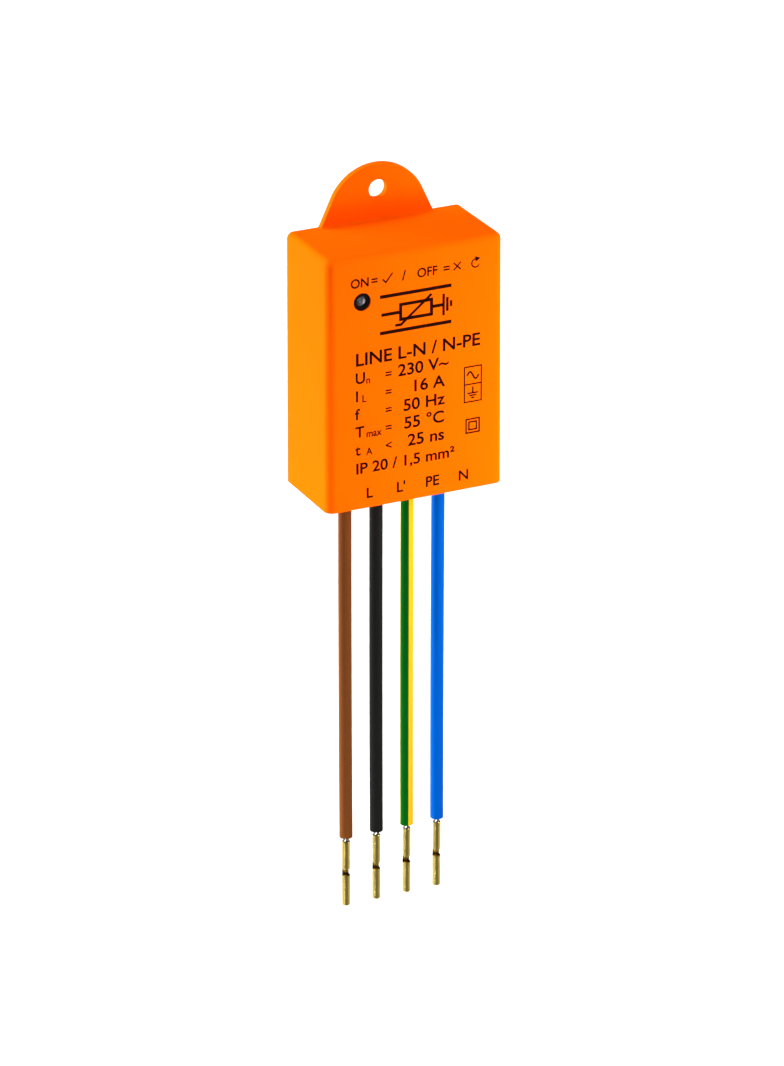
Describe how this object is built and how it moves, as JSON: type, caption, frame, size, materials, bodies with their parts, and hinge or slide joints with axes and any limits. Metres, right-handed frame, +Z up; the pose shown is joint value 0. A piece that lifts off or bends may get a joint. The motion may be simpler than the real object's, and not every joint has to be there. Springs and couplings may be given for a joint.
{
  "type": "surge protector",
  "caption": "Screw-mounted surge protector: an orange moulded box with a round-ended tab, a recessed indicator window and hanging leads that end in round contact pins.",
  "frame": {"origin": "centre of the tab's screw hole, on the flat back face of the housing", "axes": "+X to the right seen from the front, +Y out of the flat back face, +Z up; the printed front faces -Y and the leads hang towards -Z"},
  "size_m": [0.0426, 0.0208, 0.1747],
  "materials": {
    "housing": "orange moulded plastic, fine satin",
    "board": "green solder mask over glass fibre laminate",
    "solder": "bright tin solder",
    "tinned_wire": "tinned copper",
    "led_lens": "clear moulded epoxy",
    "led_frame": "silvered lead frame",
    "spacer": "black nylon",
    "resistor": "blue lacquer with colour bands",
    "diode": "black epoxy with a grey cathode band",
    "varistor": "blue epoxy coating",
    "ceramic": "white ceramic",
    "cap_metal": "nickel plate",
    "copper": "bare copper strip",
    "low_melt_solder": "dull low-melting solder",
    "base_plastic": "natural glass-filled nylon",
    "arm_plastic": "green glass-filled nylon",
    "pin_steel": "bright steel",
    "spring_steel": "spring wire",
    "clamp_plastic": "black nylon",
    "zinc": "zinc plated",
    "bare_copper": "bare copper conductor",
    "contact_brass": "turned brass",
    "insulation_brown": "brown PVC",
    "insulation_black": "black PVC",
    "insulation_green_yellow": "green PVC with a yellow stripe",
    "insulation_blue": "blue PVC"
  },
  "bodies": {
    "housing": {"housing_shell": "housing", "bottom_cover": "housing", "circuit_board": "board", "solder_joints": "solder", "led_lens": "led_lens", "led_frame": "led_frame", "led_spacer": "spacer", "led_holder": "spacer", "led_resistors": "resistor", "resistor_wires": "tinned_wire", "rectifier_diode": "diode", "diode_wires": "tinned_wire", "varistor_live": "varistor", "varistor_live_wires": "tinned_wire", "varistor_neutral": "varistor", "varistor_neutral_wires": "tinned_wire", "gas_tube_ceramic": "ceramic", "gas_tube_caps": "cap_metal", "gas_tube_wires": "tinned_wire", "varistor_heat_tab": "copper", "solder_pellet": "low_melt_solder", "disconnector_base": "base_plastic", "pivot_pin": "pin_steel", "disconnector_spring": "spring_steel", "lead_clamp": "clamp_plastic", "clamp_screws": "zinc", "clamp_nuts": "zinc", "lead_conductors": "bare_copper", "lead_brown": "insulation_brown", "lead_tail_brown": "insulation_brown", "strands_brown": "tinned_wire", "pin_brown": "contact_brass", "lead_black": "insulation_black", "lead_tail_black": "insulation_black", "strands_black": "tinned_wire", "pin_black": "contact_brass", "lead_green_yellow": "insulation_green_yellow", "lead_tail_green_yellow": "insulation_green_yellow", "strands_green_yellow": "tinned_wire", "pin_green_yellow": "contact_brass", "lead_blue": "insulation_blue", "lead_tail_blue": "insulation_blue", "strands_blue": "tinned_wire", "pin_blue": "contact_brass"},
    "disconnector_arm": {"disconnector_arm": "arm_plastic", "arm_contact": "copper"}
  },
  "joints": [
    {"name": "disconnector_release", "type": "hinge", "parent": "housing", "child": "disconnector_arm", "pos_m": [-0.0105, -0.0145, -0.05], "axis": [0, 1, 0], "range_deg": [0, 25]}
  ]
}
